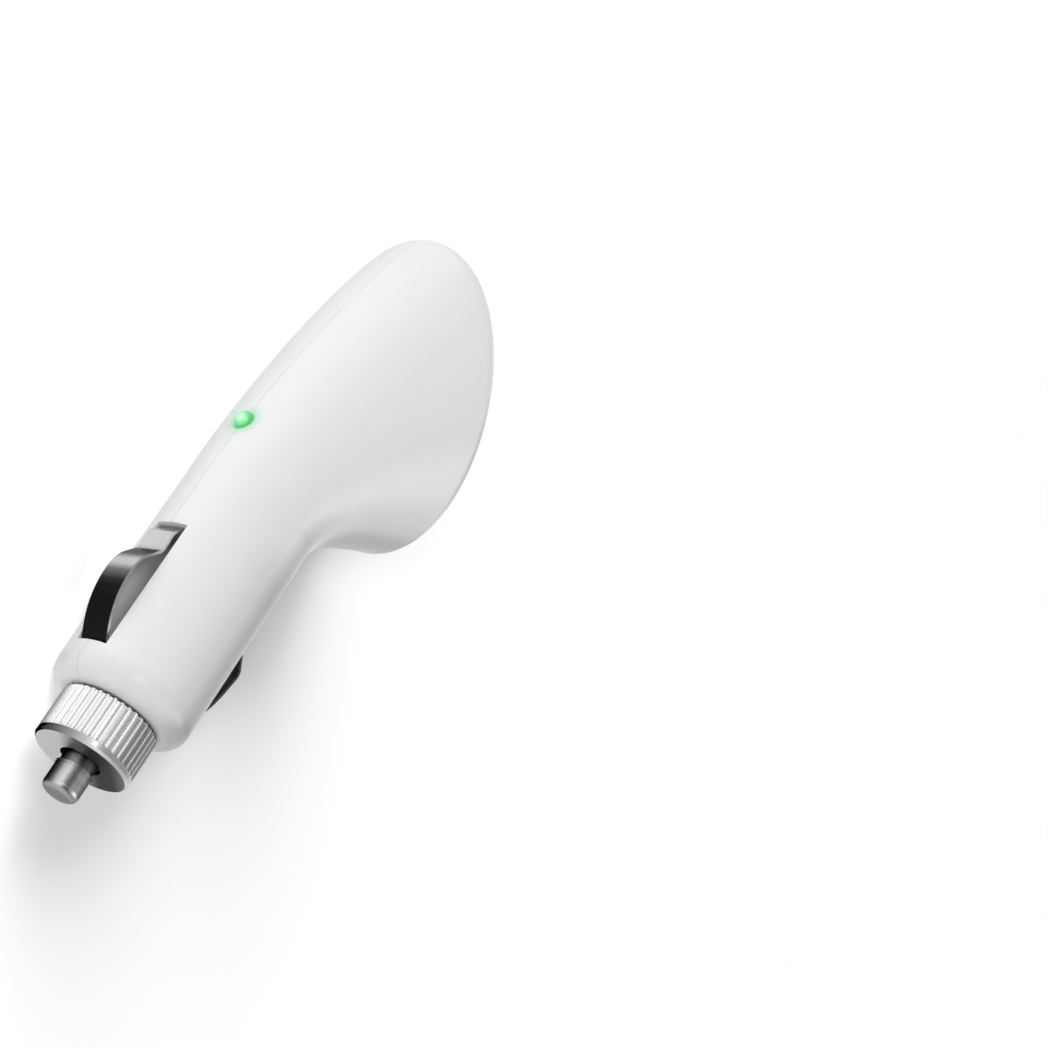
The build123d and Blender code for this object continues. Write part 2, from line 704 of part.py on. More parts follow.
def chip_legs():
    """Bent legs along both sides of the chip."""
    x, z = CHIP_PLACE
    level = BOARD_INNER - CHIP_STANDOFF - CHIP_HEIGHT / 2
    foot = BOARD_INNER - CHIP_LEG_SHEET / 2
    side = CHIP_WIDTH / 2
    bend = side + CHIP_LEG_REACH / 2
    section = bent_sheet(
        [(side + CHIP_LEG_SHEET / 2, level), (bend, level), (bend, foot), (side + CHIP_LEG_REACH, foot)],
        (CHIP_LEG_SHEET, CHIP_LEG_SHEET),
        CHIP_LEG_SHEET,
    )
    legs = []
    for step in range(CHIP_LEGS_PER_SIDE):
        offset_x = (step - (CHIP_LEGS_PER_SIDE - 1) / 2) * CHIP_LEG_PITCH
        for turn in (1, -1):
            plane = Plane(origin=(x + offset_x, 0, z), x_dir=(0, 0, turn), z_dir=(-turn, 0, 0))
            legs.append(extrude(plane * section, CHIP_LEG_WIDTH / 2, both=True))
    return legs


def standing(place, profile):
    """Solid turned about an axis that stands on the board, from pairs of radius and height."""
    plane = Plane(origin=(place[0], BOARD_INNER, place[1]), x_dir=(1, 0, 0), z_dir=(0, 0, 1))
    face = plane * make_face(Polyline(*[(radius, -height) for radius, height in profile], close=True))
    return revolve(face, Axis((place[0], 0, place[1]), (0, 1, 0)))


def leads(place, spread, gap):
    """Pair of round leads under a part, or the holes for them."""
    x, z = place
    return [
        post(LEAD_RADIUS + gap, (x + side * spread, z), BOARD_INNER, LEAD_END + gap) for side in (-1, 1)
    ]


def can(place, radius, height):
    """Electrolytic capacitor with the groove near its foot."""
    body = standing(place, [
        (0, 0),
        (radius, 0),
        (radius, CAN_GROOVE_AT - CAN_GROOVE),
        (radius - CAN_GROOVE, CAN_GROOVE_AT),
        (radius, CAN_GROOVE_AT + CAN_GROOVE),
        (radius, height),
        (0, height),
    ])
    return body + leads(place, radius / 2, 0)


def coil_core():
    """Ferrite bobbin of the coil."""
    return standing(COIL_PLACE, [
        (0, 0),
        (COIL_FLANGE_RADIUS, 0),
        (COIL_FLANGE_RADIUS, COIL_FLANGE),
        (COIL_CORE_RADIUS, COIL_FLANGE),
        (COIL_CORE_RADIUS, COIL_HEIGHT - COIL_FLANGE),
        (COIL_FLANGE_RADIUS, COIL_HEIGHT - COIL_FLANGE),
        (COIL_FLANGE_RADIUS, COIL_HEIGHT),
        (0, COIL_HEIGHT),
    ])


def coil_winding():
    """Copper winding between the flanges of the bobbin."""
    inner = COIL_CORE_RADIUS + FUSE_GLASS_GAP
    low, high = COIL_FLANGE, COIL_HEIGHT - COIL_FLANGE
    return standing(COIL_PLACE, [
        (inner, low), (COIL_WINDING_RADIUS, low), (COIL_WINDING_RADIUS, high), (inner, high),
    ])


def diode_body():
    """Round body of the diode, lying on the board."""
    x, z = DIODE_PLACE
    plane = Plane(origin=(x - DIODE_LENGTH / 2, BOARD_INNER - DIODE_RADIUS, z), z_dir=(1, 0, 0))
    return plane * extrude(Circle(DIODE_RADIUS), DIODE_LENGTH)


def diode_leads(gap):
    """Leads of the diode, bent down through the board, or the holes for them."""
    x, z = DIODE_PLACE
    pair = []
    for side in (-1, 1):
        path = FilletPolyline(
            (x + side * DIODE_LENGTH / 2, BOARD_INNER - DIODE_RADIUS, z),
            (x + side * DIODE_LEAD_SPAN / 2, BOARD_INNER - DIODE_RADIUS, z),
            (x + side * DIODE_LEAD_SPAN / 2, LEAD_END + gap, z),
            radius=2 * LEAD_RADIUS,
        )
        pair.append(sweep(Plane(origin=path @ 0, z_dir=path % 0) * Circle(LEAD_RADIUS + gap), path=path))
    return pair


def resistors():
    """Chip resistors on the inner face of the board."""
    return [
        block(
            (x - RESISTOR_LENGTH / 2, x + RESISTOR_LENGTH / 2),
            (BOARD_INNER - RESISTOR_HEIGHT, BOARD_INNER),
            (z - RESISTOR_WIDTH / 2, z + RESISTOR_WIDTH / 2),
        )
        for x, z in RESISTOR_PLACES
    ]


def circuit_board():
    """Board with a straight stretch in the barrel and an end square to the USB socket."""
    stretch = block((BOARD_START, BOARD_REACH), (BOARD_INNER, BOARD_OUTER), (-BOARD_EDGE, BOARD_EDGE))
    end = port_block(
        (-BOARD_PORT_HALF, BOARD_PORT_HALF), (BOARD_INNER, BOARD_OUTER), (BOARD_PORT_NEAR, BOARD_PORT_FAR)
    )
    holes = port_legs(HOLE_GAP) + port_contacts(HOLE_GAP) + lamp_leads(HOLE_GAP) + diode_leads(HOLE_GAP)
    holes += leads(INPUT_CAN_PLACE, INPUT_CAN_RADIUS / 2, HOLE_GAP)
    holes += leads(OUTPUT_CAN_PLACE, OUTPUT_CAN_RADIUS / 2, HOLE_GAP)
    return stretch + end - holes


def pieces():
    """Every piece by name, along the plug's own axis."""
    whole, outside = housing(), outer_body()
    return {
        "left_shell": left_shell(whole, outside),
        "right_shell": right_shell(whole, outside),
        "nose_cap": nose_cap(),
        "tip_pin": tip_pin(),
        "fuse_front_cap": fuse_cap(PIN_BACK, PIN_BACK + FUSE_CAP_LENGTH),
        "fuse_rear_cap": fuse_cap(FUSE_END, FUSE_END - FUSE_CAP_LENGTH),
        "fuse_glass": fuse_glass(),
        "fuse_wire": fuse_wire(),
        "fuse_spring": fuse_spring(),
        "positive_terminal": terminal(),
        "upper_contact": side_contact(UPPER_STRIP),
        "lower_contact": about_axis(side_contact(LOWER_STRIP)),
        "ground_wires": ground_wires(),
        "circuit_board": circuit_board(),
        "usb_shell": port_shell(),
        "usb_tongue": port_tongue(),
        "usb_contacts": Compound(children=port_contacts(0)),
        "led_lens": lamp_lens(),
        "led_leads": Compound(children=lamp_leads(0)),
        "converter_chip": chip_body(),
        "chip_legs": Compound(children=chip_legs()),
        "inductor_core": coil_core(),
        "inductor_winding": coil_winding(),
        "input_capacitor": can(INPUT_CAN_PLACE, INPUT_CAN_RADIUS, INPUT_CAN_HEIGHT),
        "output_capacitor": can(OUTPUT_CAN_PLACE, OUTPUT_CAN_RADIUS, OUTPUT_CAN_HEIGHT),
        "diode": diode_body(),
        "diode_leads": Compound(children=diode_leads(0)),
        "resistors": Compound(children=resistors()),
    }


def rest_place(parts):
    """Turn and move that set the part on the ground, with the origin under the middle of its box."""
    turn = Rot(Y=REST_PITCH) * Rot(X=-90 - REST_ROLL)
    box = Compound(children=[turn * shape for shape in parts.values()]).bounding_box()
    centre = box.center()
    return Pos(-centre.X, -centre.Y, -box.min.Z) * turn


def main():
    os.makedirs("parts", exist_ok=True)
    parts = pieces()
    place = rest_place(parts)
    for name, shape in parts.items():
        export_step(place * shape, f"parts/{name}.step")


if __name__ == "__main__":
    main()
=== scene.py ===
import bpy
import json
import math
from mathutils import Matrix, Vector


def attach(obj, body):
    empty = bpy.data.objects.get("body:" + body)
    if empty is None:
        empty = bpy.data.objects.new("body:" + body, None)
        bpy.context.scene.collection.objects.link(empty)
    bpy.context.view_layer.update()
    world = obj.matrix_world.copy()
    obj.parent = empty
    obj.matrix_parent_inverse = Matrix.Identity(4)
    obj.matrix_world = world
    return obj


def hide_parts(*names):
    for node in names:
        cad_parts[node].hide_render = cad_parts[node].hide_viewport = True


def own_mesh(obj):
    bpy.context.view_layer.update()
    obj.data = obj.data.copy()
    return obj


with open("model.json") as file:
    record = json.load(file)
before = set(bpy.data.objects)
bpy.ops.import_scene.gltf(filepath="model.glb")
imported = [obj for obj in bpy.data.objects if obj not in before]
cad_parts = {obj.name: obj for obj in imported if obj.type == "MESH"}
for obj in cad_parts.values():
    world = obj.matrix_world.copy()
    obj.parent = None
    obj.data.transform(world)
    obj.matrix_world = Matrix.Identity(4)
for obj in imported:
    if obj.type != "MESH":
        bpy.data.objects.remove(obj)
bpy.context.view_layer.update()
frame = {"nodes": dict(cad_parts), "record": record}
JOINTS = {joint["name"]: joint for joint in frame["record"]["behaviour"]["joints"]}

# Directions: towards the tip, up, across the seam of the housing, and out of the pilot lamp
FORWARD = Vector((-1, 0, 0))
UPWARD = Vector((0, 0, 1))
ACROSS = Vector(JOINTS["lower_contact_press"]["axis"])
PILOT_AXIS = Vector(JOINTS["tip_push"]["axis"]).cross(ACROSS)

# Camera: its place in metres and its axes
CAMERA_PLACE = Vector((-0.1477, 0.2877, 0.10689))
CAMERA_RIGHT = Vector((0.430942, 0.055069, 0.900698))
CAMERA_UP = Vector((0.758336, 0.518895, -0.394555))
CAMERA_BACK = Vector((-0.489096, 0.853062, 0.181853))

# Camera: its lens and sensor in millimetres, and the nearest and farthest that it sees in metres
CAMERA_LENS = 79.071
SENSOR_WIDTH = 36.0
NEAREST = 0.005
FARTHEST = 50.0

# Distant lamps: direction from the plug, strength, and apparent width in degrees
KEY_LAMP = (Vector((0.03, 0.90, 0.43)), 1.25, 30.0)
TOP_LAMP = (Vector((-0.16, -0.29, 0.94)), 0.95, 40.0)
BACK_LAMP = (Vector((0.55, -0.83, 0.05)), 0.9, 40.0)
SHADOW_LAMP = (Vector((0.08, 0.966, 0.24)), 5.6, 20.0)
FLOOR_LAMP = (Vector((-0.44, 0.856, 0.273)), 5.4, 10.0)

# What a lamp lights: all but the floor, or the floor alone
ALL_BUT_FLOOR = "EXCLUDE"
FLOOR_ALONE = "INCLUDE"

# Surroundings by the sine of the elevation: white near the horizon and dark overhead, less so in reflections
HORIZON_END = 0.15
OVERHEAD_START = 0.85
HORIZON_LIGHT = 1.0
OVERHEAD_LIGHT = 0.02
OVERHEAD_SHINE = 0.40

# Floor: its width in metres, its colour, the shade of its patches, and its roughness
FLOOR_SIZE = 60.0
FLOOR_COLOUR = (0.86, 0.86, 0.86)
FLOOR_PATCH_SHADE = 0.99
FLOOR_ROUGHNESS = 0.9

# Noise: waves to the metre of each kind of unevenness
FLOOR_PATCHES = 3.0
PLASTIC_PATCHES = 120.0
METAL_PATCHES = 260.0
GLASS_PATCHES = 300.0
GLOSS_PATCHES = 420.0
PILOT_PATCHES = 900.0
PLASTIC_GRAIN = 1500.0
METAL_MARKS = 6000.0

# Noise: its detail, the range that most of its values keep to, and its stretch along or around the plug
NOISE_DETAIL = 3.0
GRAIN_DETAIL = 2.0
NOISE_RANGE = (0.3, 0.7)
EVEN = (1, 1, 1)
ALONG = (0.02, 1, 1)
AROUND = (1, 0.02, 0.02)

# Surface relief in metres, and how strongly it shows
RELIEF = 1e-6
TIP_RELIEF = 2e-7
RELIEF_STRENGTH = 0.3

# Roughness at the smoothest and the roughest spots, as shares of its middle value
PLASTIC_SPREAD = (0.92, 1.1)
METAL_SPREAD = (0.75, 1.35)

# Plastic and glass: how they bend light, the shine of the plastic, and the roughness of the glass
PLASTIC_IOR = 1.49
PLASTIC_SHINE = 0.3
GLASS_IOR = 1.5
GLASS_ROUGHNESS = (0.01, 0.04)

# Plain metals by slot: colour, roughness, and the run of the fine marks
METALS = {
    "steel": ((0.45, 0.45, 0.455), 0.26, AROUND),
    "nickel": ((0.62, 0.62, 0.61), 0.14, ALONG),
    "plated_brass": ((0.75, 0.74, 0.70), 0.16, AROUND),
    "brass": ((0.78, 0.56, 0.24), 0.2, ALONG),
    "copper": ((0.70, 0.32, 0.14), 0.3, AROUND),
    "tin": ((0.66, 0.66, 0.67), 0.3, ALONG),
}
METAL_PATCH_SHADE = 0.9

# Plain plastics by slot: colour, roughness, and the shade of the patches
PLASTICS = {
    "wire_cover": ((0.03, 0.03, 0.03), 0.45, 0.8),
    "board_green": ((0.03, 0.20, 0.08), 0.35, 0.8),
    "black_plastic": ((0.02, 0.02, 0.02), 0.4, 0.7),
    "ferrite": ((0.06, 0.06, 0.065), 0.6, 0.7),
    "can_sleeve": ((0.03, 0.03, 0.06), 0.25, 0.8),
}

# Pilot lamp: the radius of its dome, the way to its bright spot, and its light by the distance from it
DOME_RADIUS = 0.0013
BRIGHT_SPOT = Vector((-0.2655, 0.9462, -0.1852))
PILOT_TONES = (
    (0.0002, (0.72, 0.98, 0.84)),
    (0.0007, (0.34, 0.90, 0.44)),
    (0.0014, (0.08, 0.50, 0.15)),
)
PILOT_STRENGTH = 0.95

# Pilot lamp: the colour of its lens, the shade of the lens's patches, and its roughness
LENS_COLOUR = (0.01, 0.10, 0.02)
LENS_PATCH_SHADE = 0.8
LENS_ROUGHNESS = 0.3

# Pilot lamp: its painted glow on the housing, as a green tint, and where that fades by the distance from the
# middle of the dome
PAINTED_GLOW_TINT = (0.62, 1.0, 0.72)
GLOW_FADE = (0.0014, 0.0034)

# Upper side contact: painted reflections, as greys by the place along the plug in metres, for what a bent
# strip shows of its surroundings
CONTACT_REFLECTION_TONES = (
    (-0.0290, 0.014),
    (-0.0268, 0.022),
    (-0.0259, 0.04),
    (-0.0243, 0.18),
    (-0.0232, 0.56),
    (-0.0223, 0.57),
    (-0.0212, 0.30),
    (-0.0205, 0.27),
    (-0.0194, 0.27),
    (-0.0189, 0.40),
    (-0.0182, 0.56),
    (-0.0140, 0.56),
)
UPPER_CONTACT_ROUGHNESS = 0.16

# Upper side contact: the lighter grey of its cut edges, a painted highlight, and where they start by the
# normal across the seam
CUT_EDGE_HIGHLIGHT_TONE = (0.60, 0.60, 0.60)
CUT_EDGE_FADE = (0.6, 0.8)

# Lower side contact: the grey of its outer face and the painted shade on its face towards the barrel, and
# where they meet by the way the strip faces
OUTER_FACE_TONE = (0.60, 0.60, 0.60)
INNER_FACE_PAINTED_SHADE = (0.12, 0.12, 0.12)
INNER_FACE_FADE = (-0.5, -0.05)
LOWER_CONTACT_ROUGHNESS = 0.22

# Cap: painted shade in the depth of its flutes, as greys by their openness, and the reach in metres and the
# rays that show it
FLUTE_PAINTED_SHADE_TONES = ((0.36, 0.03), (0.55, 0.42), (0.70, 0.95))
FLUTE_REACH = 0.0007
FLUTE_RAYS = 8

# Cap: painted reflections, as greys by the height above the floor in metres, on its flutes, its lip and its
# front
FLUTE_REFLECTION_TONES = (
    (0.0031, 0.10),
    (0.0042, 0.40),
    (0.0058, 0.95),
    (0.0154, 0.95),
    (0.0160, 0.70),
    (0.0166, 0.48),
    (0.0175, 0.46),
)
LIP_REFLECTION_TONES = ((0.0035, 0.06), (0.0065, 0.09), (0.0095, 0.30), (0.0130, 0.70))
FRONT_REFLECTION_TONES = (
    (0.0031, 0.62),
    (0.0075, 0.63),
    (0.0105, 0.32),
    (0.0125, 0.15),
    (0.0150, 0.15),
    (0.0176, 0.31),
)

# Cap: where its lip starts in metres ahead and its front by the normal, and how rough sides and front are
LIP_FADE = (0.0459, 0.0461)
FRONT_FADE = (0.90, 0.97)
CAP_ROUGHNESS = 0.12
FRONT_ROUGHNESS = 0.42

# Tip: painted reflections, as greys by the upward part of its normal
TIP_REFLECTION_TONES = (
    (-1.0, 0.03),
    (-0.48, 0.06),
    (-0.35, 0.18),
    (-0.15, 0.50),
    (0.09, 0.63),
    (0.22, 0.32),
    (0.31, 0.10),
    (0.45, 0.045),
    (0.55, 0.12),
    (0.69, 0.50),
    (0.85, 0.45),
    (1.0, 0.25),
)
TIP_ROUGHNESS = 0.32

# Tip: the grey of its end, a painted reflection, by the forward part of its normal, and the painted shade of
# its neck by the metres ahead
TIP_END_REFLECTION_TONE = (0.36, 0.36, 0.36)
TIP_END_FADE = (0.3, 0.8)
NECK_PAINTED_SHADE = (0.60, 0.60, 0.60)
NECK_FADE = (0.0483, 0.0487)

# Housing: its colour, the shade of its patches, and its roughness
HOUSING_COLOUR = (0.792, 0.792, 0.797)
HOUSING_PATCH_SHADE = 0.99
HOUSING_ROUGHNESS = 0.30

# Housing: painted shade by the upward part of its normal
HOUSING_TONES = (
    (-1.0, 0.51),
    (-0.78, 0.67),
    (-0.58, 0.84),
    (-0.43, 0.90),
    (-0.2, 0.918),
    (0.05, 0.912),
    (0.2, 0.89),
    (0.45, 0.883),
    (0.7, 0.913),
    (0.84, 0.945),
    (0.91, 1.0),
    (0.96, 0.90),
    (1.0, 0.72),
)

# Housing: more painted shade on the upper side of its barrel, and where the barrel starts in metres ahead
BARREL_TONES = ((0.55, 1.0), (0.70, 0.962), (0.79, 0.918), (0.87, 0.862), (0.93, 0.82), (1.0, 0.81))
BARREL_FADE = (0.005, 0.014)

# Housing: more painted shade under the rim of its head, by how far the surface faces one way
RIM_FACING = Vector((-0.65, -0.45, 0.61))
RIM_TONES = ((0.85, 1.0), (0.905, 0.92), (0.95, 0.68), (1.0, 0.52))

# Housing: more painted shade on the round of its nose in the same manner, and where the nose starts in
# metres ahead
NOSE_FACING = Vector((-0.55, -0.45, 0.70))
NOSE_TONES = ((-0.2, 0.905), (0.35, 0.965), (0.60, 0.92), (0.68, 0.84), (0.76, 0.73), (0.82, 0.66))
NOSE_FADE = (0.0345, 0.0370)

# White, which is also no shade at all
WHITE = (1, 1, 1)

# Colour mix: the sockets of its share and its two colours, and of its result
MIX_INPUTS = (0, 6, 7)
MIX_OUTPUT = 2


class Nodes:
    """Nodes of a material or the world, with short calls for those that are used often."""

    def __init__(self, owner, shader="Principled BSDF"):
        owner.use_nodes = True
        self.owner = owner
        self.tree = owner.node_tree
        self.shader = self.tree.nodes[shader]

    def add(self, kind, **values):
        """New node with some of its input sockets or properties set."""
        node = self.tree.nodes.new(kind)
        for key, value in values.items():
            if key in node.inputs:
                node.inputs[key].default_value = value
            else:
                setattr(node, key, value)
        return node

    def feed(self, value, socket):
        """Number, colour or value of another node on a socket."""
        if isinstance(value, bpy.types.NodeSocket):
            self.tree.links.new(value, socket)
        elif isinstance(value, tuple):
            socket.default_value = (*value, 1)
        else:
            socket.default_value = value

    def set(self, **values):
        """Values on the shader's own sockets, with _ for the space in their names."""
        for key, value in values.items():
            self.feed(value, self.shader.inputs[key.replace("_", " ")])

    def place(self, scale=EVEN):
        """Coordinates in the plug's own metres, stretched by a scale."""
        where = self.add("ShaderNodeTexCoord")
        mapping = self.add("ShaderNodeMapping", Scale=scale)
        self.feed(where.outputs["Object"], mapping.inputs["Vector"])
        return mapping.outputs["Vector"]

    def normal(self):
        """Direction that the surface faces."""
        return self.add("ShaderNodeTexCoord").outputs["Normal"]

    def along(self, vector, direction):
        """Part of a vector that lies along a direction."""
        node = self.add("ShaderNodeVectorMath", operation="DOT_PRODUCT")
        node.inputs[1].default_value = direction
        self.feed(vector, node.inputs[0])
        return node.outputs["Value"]

    def distance(self, point):
        """Distance from a point."""
        node = self.add("ShaderNodeVectorMath", operation="DISTANCE")
        node.inputs[1].default_value = point
        self.feed(self.place(), node.inputs[0])
        return node.outputs["Value"]

    def noise(self, scale, stretch=EVEN, detail=NOISE_DETAIL):
        """Noise value with so many waves to the metre."""
        node = self.add("ShaderNodeTexNoise", Scale=scale, Detail=detail)
        self.feed(self.place(stretch), node.inputs["Vector"])
        return node.outputs["Fac"]

    def between(self, value, low, high, first=0.0, last=1.0):
        """Value that goes from low to high as another goes from first to last."""
        node = self.add("ShaderNodeMapRange", **{"From Min": first, "From Max": last})
        for socket, part in {"Value": value, "To Min": low, "To Max": high}.items():
            self.feed(part, node.inputs[socket])
        return node.outputs["Result"]

    def span(self, noise, low, high):
        """Noise value brought to a range."""
        return self.between(noise, low, high, *NOISE_RANGE)

    def uneven(self, noise, rough, spread):
        """Roughness that follows a noise value."""
        smoothest, roughest = spread
        return self.span(noise, rough * smoothest, rough * roughest)

    def fade(self, value, start, end):
        """Soft step from 0 to 1 between two values."""
        limits = {"From Min": start, "From Max": end}
        node = self.add("ShaderNodeMapRange", interpolation_type="SMOOTHSTEP", **limits)
        self.feed(value, node.inputs["Value"])
        return node.outputs["Result"]

    def blend(self, share, first, second, how="MIX"):
        """Colour between two colours."""
        node = self.add("ShaderNodeMix", data_type="RGBA", blend_type=how)
        for socket, value in zip(MIX_INPUTS, (share, first, second)):
            self.feed(value, node.inputs[socket])
        return node.outputs[MIX_OUTPUT]

    def times(self, first, second):
        """Colour that is darkened by another."""
        return self.blend(1.0, first, second, "MULTIPLY")

    def tones(self, value, stops):
        """Colour that follows a value through pairs of a value and a grey or a colour."""
        places, shades = zip(*stops)
        first, last = places[0], places[-1]
        ramp = self.add("ShaderNodeValToRGB")
        marks = ramp.color_ramp.elements
        for place in places[1:-1]:
            marks.new((place - first) / (last - first))
        for mark, shade in zip(marks, shades):
            colour = shade if isinstance(shade, tuple) else (shade, shade, shade)
            mark.color = (*colour, 1)
        self.feed(self.between(value, 0.0, 1.0, first, last), ramp.inputs["Fac"])
        return ramp.outputs["Color"]

    def mottled(self, colour, shade, scale):
        """Colour with faint darker patches."""
        return self.blend(self.noise(scale), colour, tuple(shade * part for part in colour))

    def tint(self, colour):
        """Colour of a metal, also where it is seen along its surface."""
        self.set(Base_Color=colour, Specular_Tint=colour)

    def bump(self, height, distance):
        """Surface relief from a height value."""
        node = self.add("ShaderNodeBump", Distance=distance, Strength=RELIEF_STRENGTH)
        self.feed(height, node.inputs["Height"])
        self.set(Normal=node.outputs["Normal"])


def new_material(name):
    """Nodes of a new material."""
    return Nodes(bpy.data.materials.new(name))


def plastic(name, rough):
    """Moulded plastic with an uneven gloss, before its colour."""
    nodes = new_material(name)
    gloss = nodes.uneven(nodes.noise(GLOSS_PATCHES), rough, PLASTIC_SPREAD)
    nodes.set(Roughness=gloss, IOR=PLASTIC_IOR, Specular_IOR_Level=PLASTIC_SHINE)
    nodes.bump(nodes.noise(PLASTIC_GRAIN, detail=GRAIN_DETAIL), RELIEF)
    return nodes


def moulded(name, colour, rough, shade):
    """Plastic of one colour with faint darker patches."""
    nodes = plastic(name, rough)
    nodes.set(Base_Color=nodes.mottled(colour, shade, PLASTIC_PATCHES))
    return nodes


def bare_metal(name, rough, stretch, relief=RELIEF):
    """Metal with fine marks along one direction, before its colour."""
    nodes = new_material(name)
    marks = nodes.noise(METAL_MARKS, stretch)
    nodes.set(Roughness=nodes.uneven(marks, rough, METAL_SPREAD), Metallic=1.0)
    nodes.bump(marks, relief)
    return nodes


def metal(name, colour, rough, stretch):
    """Metal of one colour with faint darker patches."""
    nodes = bare_metal(name, rough, stretch)
    nodes.set(Base_Color=nodes.mottled(colour, METAL_PATCH_SHADE, METAL_PATCHES))
    return nodes


def painted_flute_greys(nodes, height):
    """Greys of the cap's flutes: painted shade in their depth, and painted reflections that are dark near
    the top and bottom of the cap.
    """
    openness = nodes.add("ShaderNodeAmbientOcclusion", Distance=FLUTE_REACH, samples=FLUTE_RAYS)
    depth = nodes.tones(openness.outputs["AO"], FLUTE_PAINTED_SHADE_TONES)
    return nodes.times(depth, nodes.tones(height, FLUTE_REFLECTION_TONES))


def reflection_painted_cap(name):
    """Bright cap with painted shade and reflections: dark lines in its flutes, a lip that is darker below, a
    front that is darker above.
    """
    nodes = new_material(name)
    nodes.bump(nodes.noise(METAL_MARKS), RELIEF)
    height = nodes.along(nodes.place(), UPWARD)
    on_lip = nodes.fade(nodes.along(nodes.place(), FORWARD), *LIP_FADE)
    on_front = nodes.fade(nodes.along(nodes.normal(), FORWARD), *FRONT_FADE)
    sides = nodes.blend(on_lip, painted_flute_greys(nodes, height), nodes.tones(height, LIP_REFLECTION_TONES))
    nodes.tint(nodes.blend(on_front, sides, nodes.tones(height, FRONT_REFLECTION_TONES)))
    nodes.set(Roughness=nodes.between(on_front, CAP_ROUGHNESS, FRONT_ROUGHNESS), Metallic=1.0)
    return nodes


def reflection_painted_steel(name):
    """Turned tip with painted reflections as bands along its side and a grey end, and painted shade at its
    neck.
    """
    nodes = bare_metal(name, TIP_ROUGHNESS, AROUND, TIP_RELIEF)
    side = nodes.tones(nodes.along(nodes.normal(), UPWARD), TIP_REFLECTION_TONES)
    on_end = nodes.fade(nodes.along(nodes.normal(), FORWARD), *TIP_END_FADE)
    past_neck = nodes.fade(nodes.along(nodes.place(), FORWARD), *NECK_FADE)
    body = nodes.blend(on_end, side, TIP_END_REFLECTION_TONE)
    nodes.tint(nodes.times(body, nodes.blend(past_neck, NECK_PAINTED_SHADE, WHITE)))
    return nodes


def reflection_painted_strip(name):
    """Bent strip with painted reflections: dark and light bands along the plug, and a painted highlight on
    its lighter cut edges.
    """
    nodes = bare_metal(name, UPPER_CONTACT_ROUGHNESS, ALONG)
    greys = nodes.tones(nodes.along(nodes.place(), -FORWARD), CONTACT_REFLECTION_TONES)
    for side in (ACROSS, -ACROSS):
        on_edge = nodes.fade(nodes.along(nodes.normal(), side), *CUT_EDGE_FADE)
        greys = nodes.blend(on_edge, greys, CUT_EDGE_HIGHLIGHT_TONE)
    nodes.tint(greys)
    return nodes


def shade_painted_nickel(name):
    """Strip that is bright outside, with painted shade on the face towards the barrel."""
    nodes = bare_metal(name, LOWER_CONTACT_ROUGHNESS, ALONG)
    inward = nodes.fade(nodes.along(nodes.normal(), PILOT_AXIS), *INNER_FACE_FADE)
    nodes.set(Base_Color=nodes.blend(inward, OUTER_FACE_TONE, INNER_FACE_PAINTED_SHADE))
    return nodes


def dome_middle():
    """Middle of the pilot lamp's dome."""
    corners = frame["nodes"]["led_lens"].data.vertices
    top = max((corner.co for corner in corners), key=PILOT_AXIS.dot)
    return top - PILOT_AXIS * DOME_RADIUS


def housing_painted_shades(nodes):
    """Painted shades of the housing: all over, on its barrel, and on its nose or under the rim of its head.
    """
    facing_up = nodes.along(nodes.normal(), UPWARD)
    ahead = nodes.along(nodes.place(), FORWARD)
    overall = nodes.tones(facing_up, HOUSING_TONES)
    on_barrel = nodes.fade(ahead, *BARREL_FADE)
    barrel = nodes.blend(on_barrel, WHITE, nodes.tones(facing_up, BARREL_TONES))
    on_nose = nodes.fade(ahead, *NOSE_FADE)
    nose = nodes.tones(nodes.along(nodes.normal(), NOSE_FACING), NOSE_TONES)
    rim = nodes.tones(nodes.along(nodes.normal(), RIM_FACING), RIM_TONES)
    return overall, barrel, nodes.blend(on_nose, rim, nose)


def painted_pilot_glow(nodes):
    """Painted glow of the lit lamp: a tint on what is close to it."""
    away = nodes.fade(nodes.distance(dome_middle()), *GLOW_FADE)
    return nodes.blend(away, PAINTED_GLOW_TINT, WHITE)


def glowing_white(name):
    """White plastic of the housing, with its painted shades and the painted glow of the lit lamp."""
    nodes = plastic(name, HOUSING_ROUGHNESS)
    colour = nodes.mottled(HOUSING_COLOUR, HOUSING_PATCH_SHADE, PLASTIC_PATCHES)
    for layer in (*housing_painted_shades(nodes), painted_pilot_glow(nodes)):
        colour = nodes.times(colour, layer)
    nodes.set(Base_Color=colour)
    return nodes


def lit_lens(name):
    """Tinted lamp that is on, nearly white at a spot on its dome and green round it."""
    nodes = new_material(name)
    spot = dome_middle() + BRIGHT_SPOT * DOME_RADIUS
    light = nodes.tones(nodes.distance(spot), PILOT_TONES)
    colour = nodes.mottled(LENS_COLOUR, LENS_PATCH_SHADE, PILOT_PATCHES)
    nodes.set(Base_Color=colour, Roughness=LENS_ROUGHNESS)
    nodes.set(Emission_Color=light, Emission_Strength=PILOT_STRENGTH)
    return nodes


def clear_glass(name):
    """Glass of the fuse."""
    nodes = new_material(name)
    roughness = nodes.span(nodes.noise(GLASS_PATCHES), *GLASS_ROUGHNESS)
    nodes.set(Roughness=roughness, Transmission_Weight=1.0, IOR=GLASS_IOR)
    return nodes


def slot_looks():
    """Material of every slot."""
    looks = {
        # Painted shade and painted glow on the housing
        "white_plastic": glowing_white("white_plastic"),
        # Painted reflections and painted shade on the cap
        "chrome": reflection_painted_cap("chrome"),
        "clear_glass": clear_glass("clear_glass"),
        "green_lens": lit_lens("green_lens"),
    }
    for slot, finish in METALS.items():
        looks[slot] = metal(slot, *finish)
    for slot, finish in PLASTICS.items():
        looks[slot] = moulded(slot, *finish)
    return looks


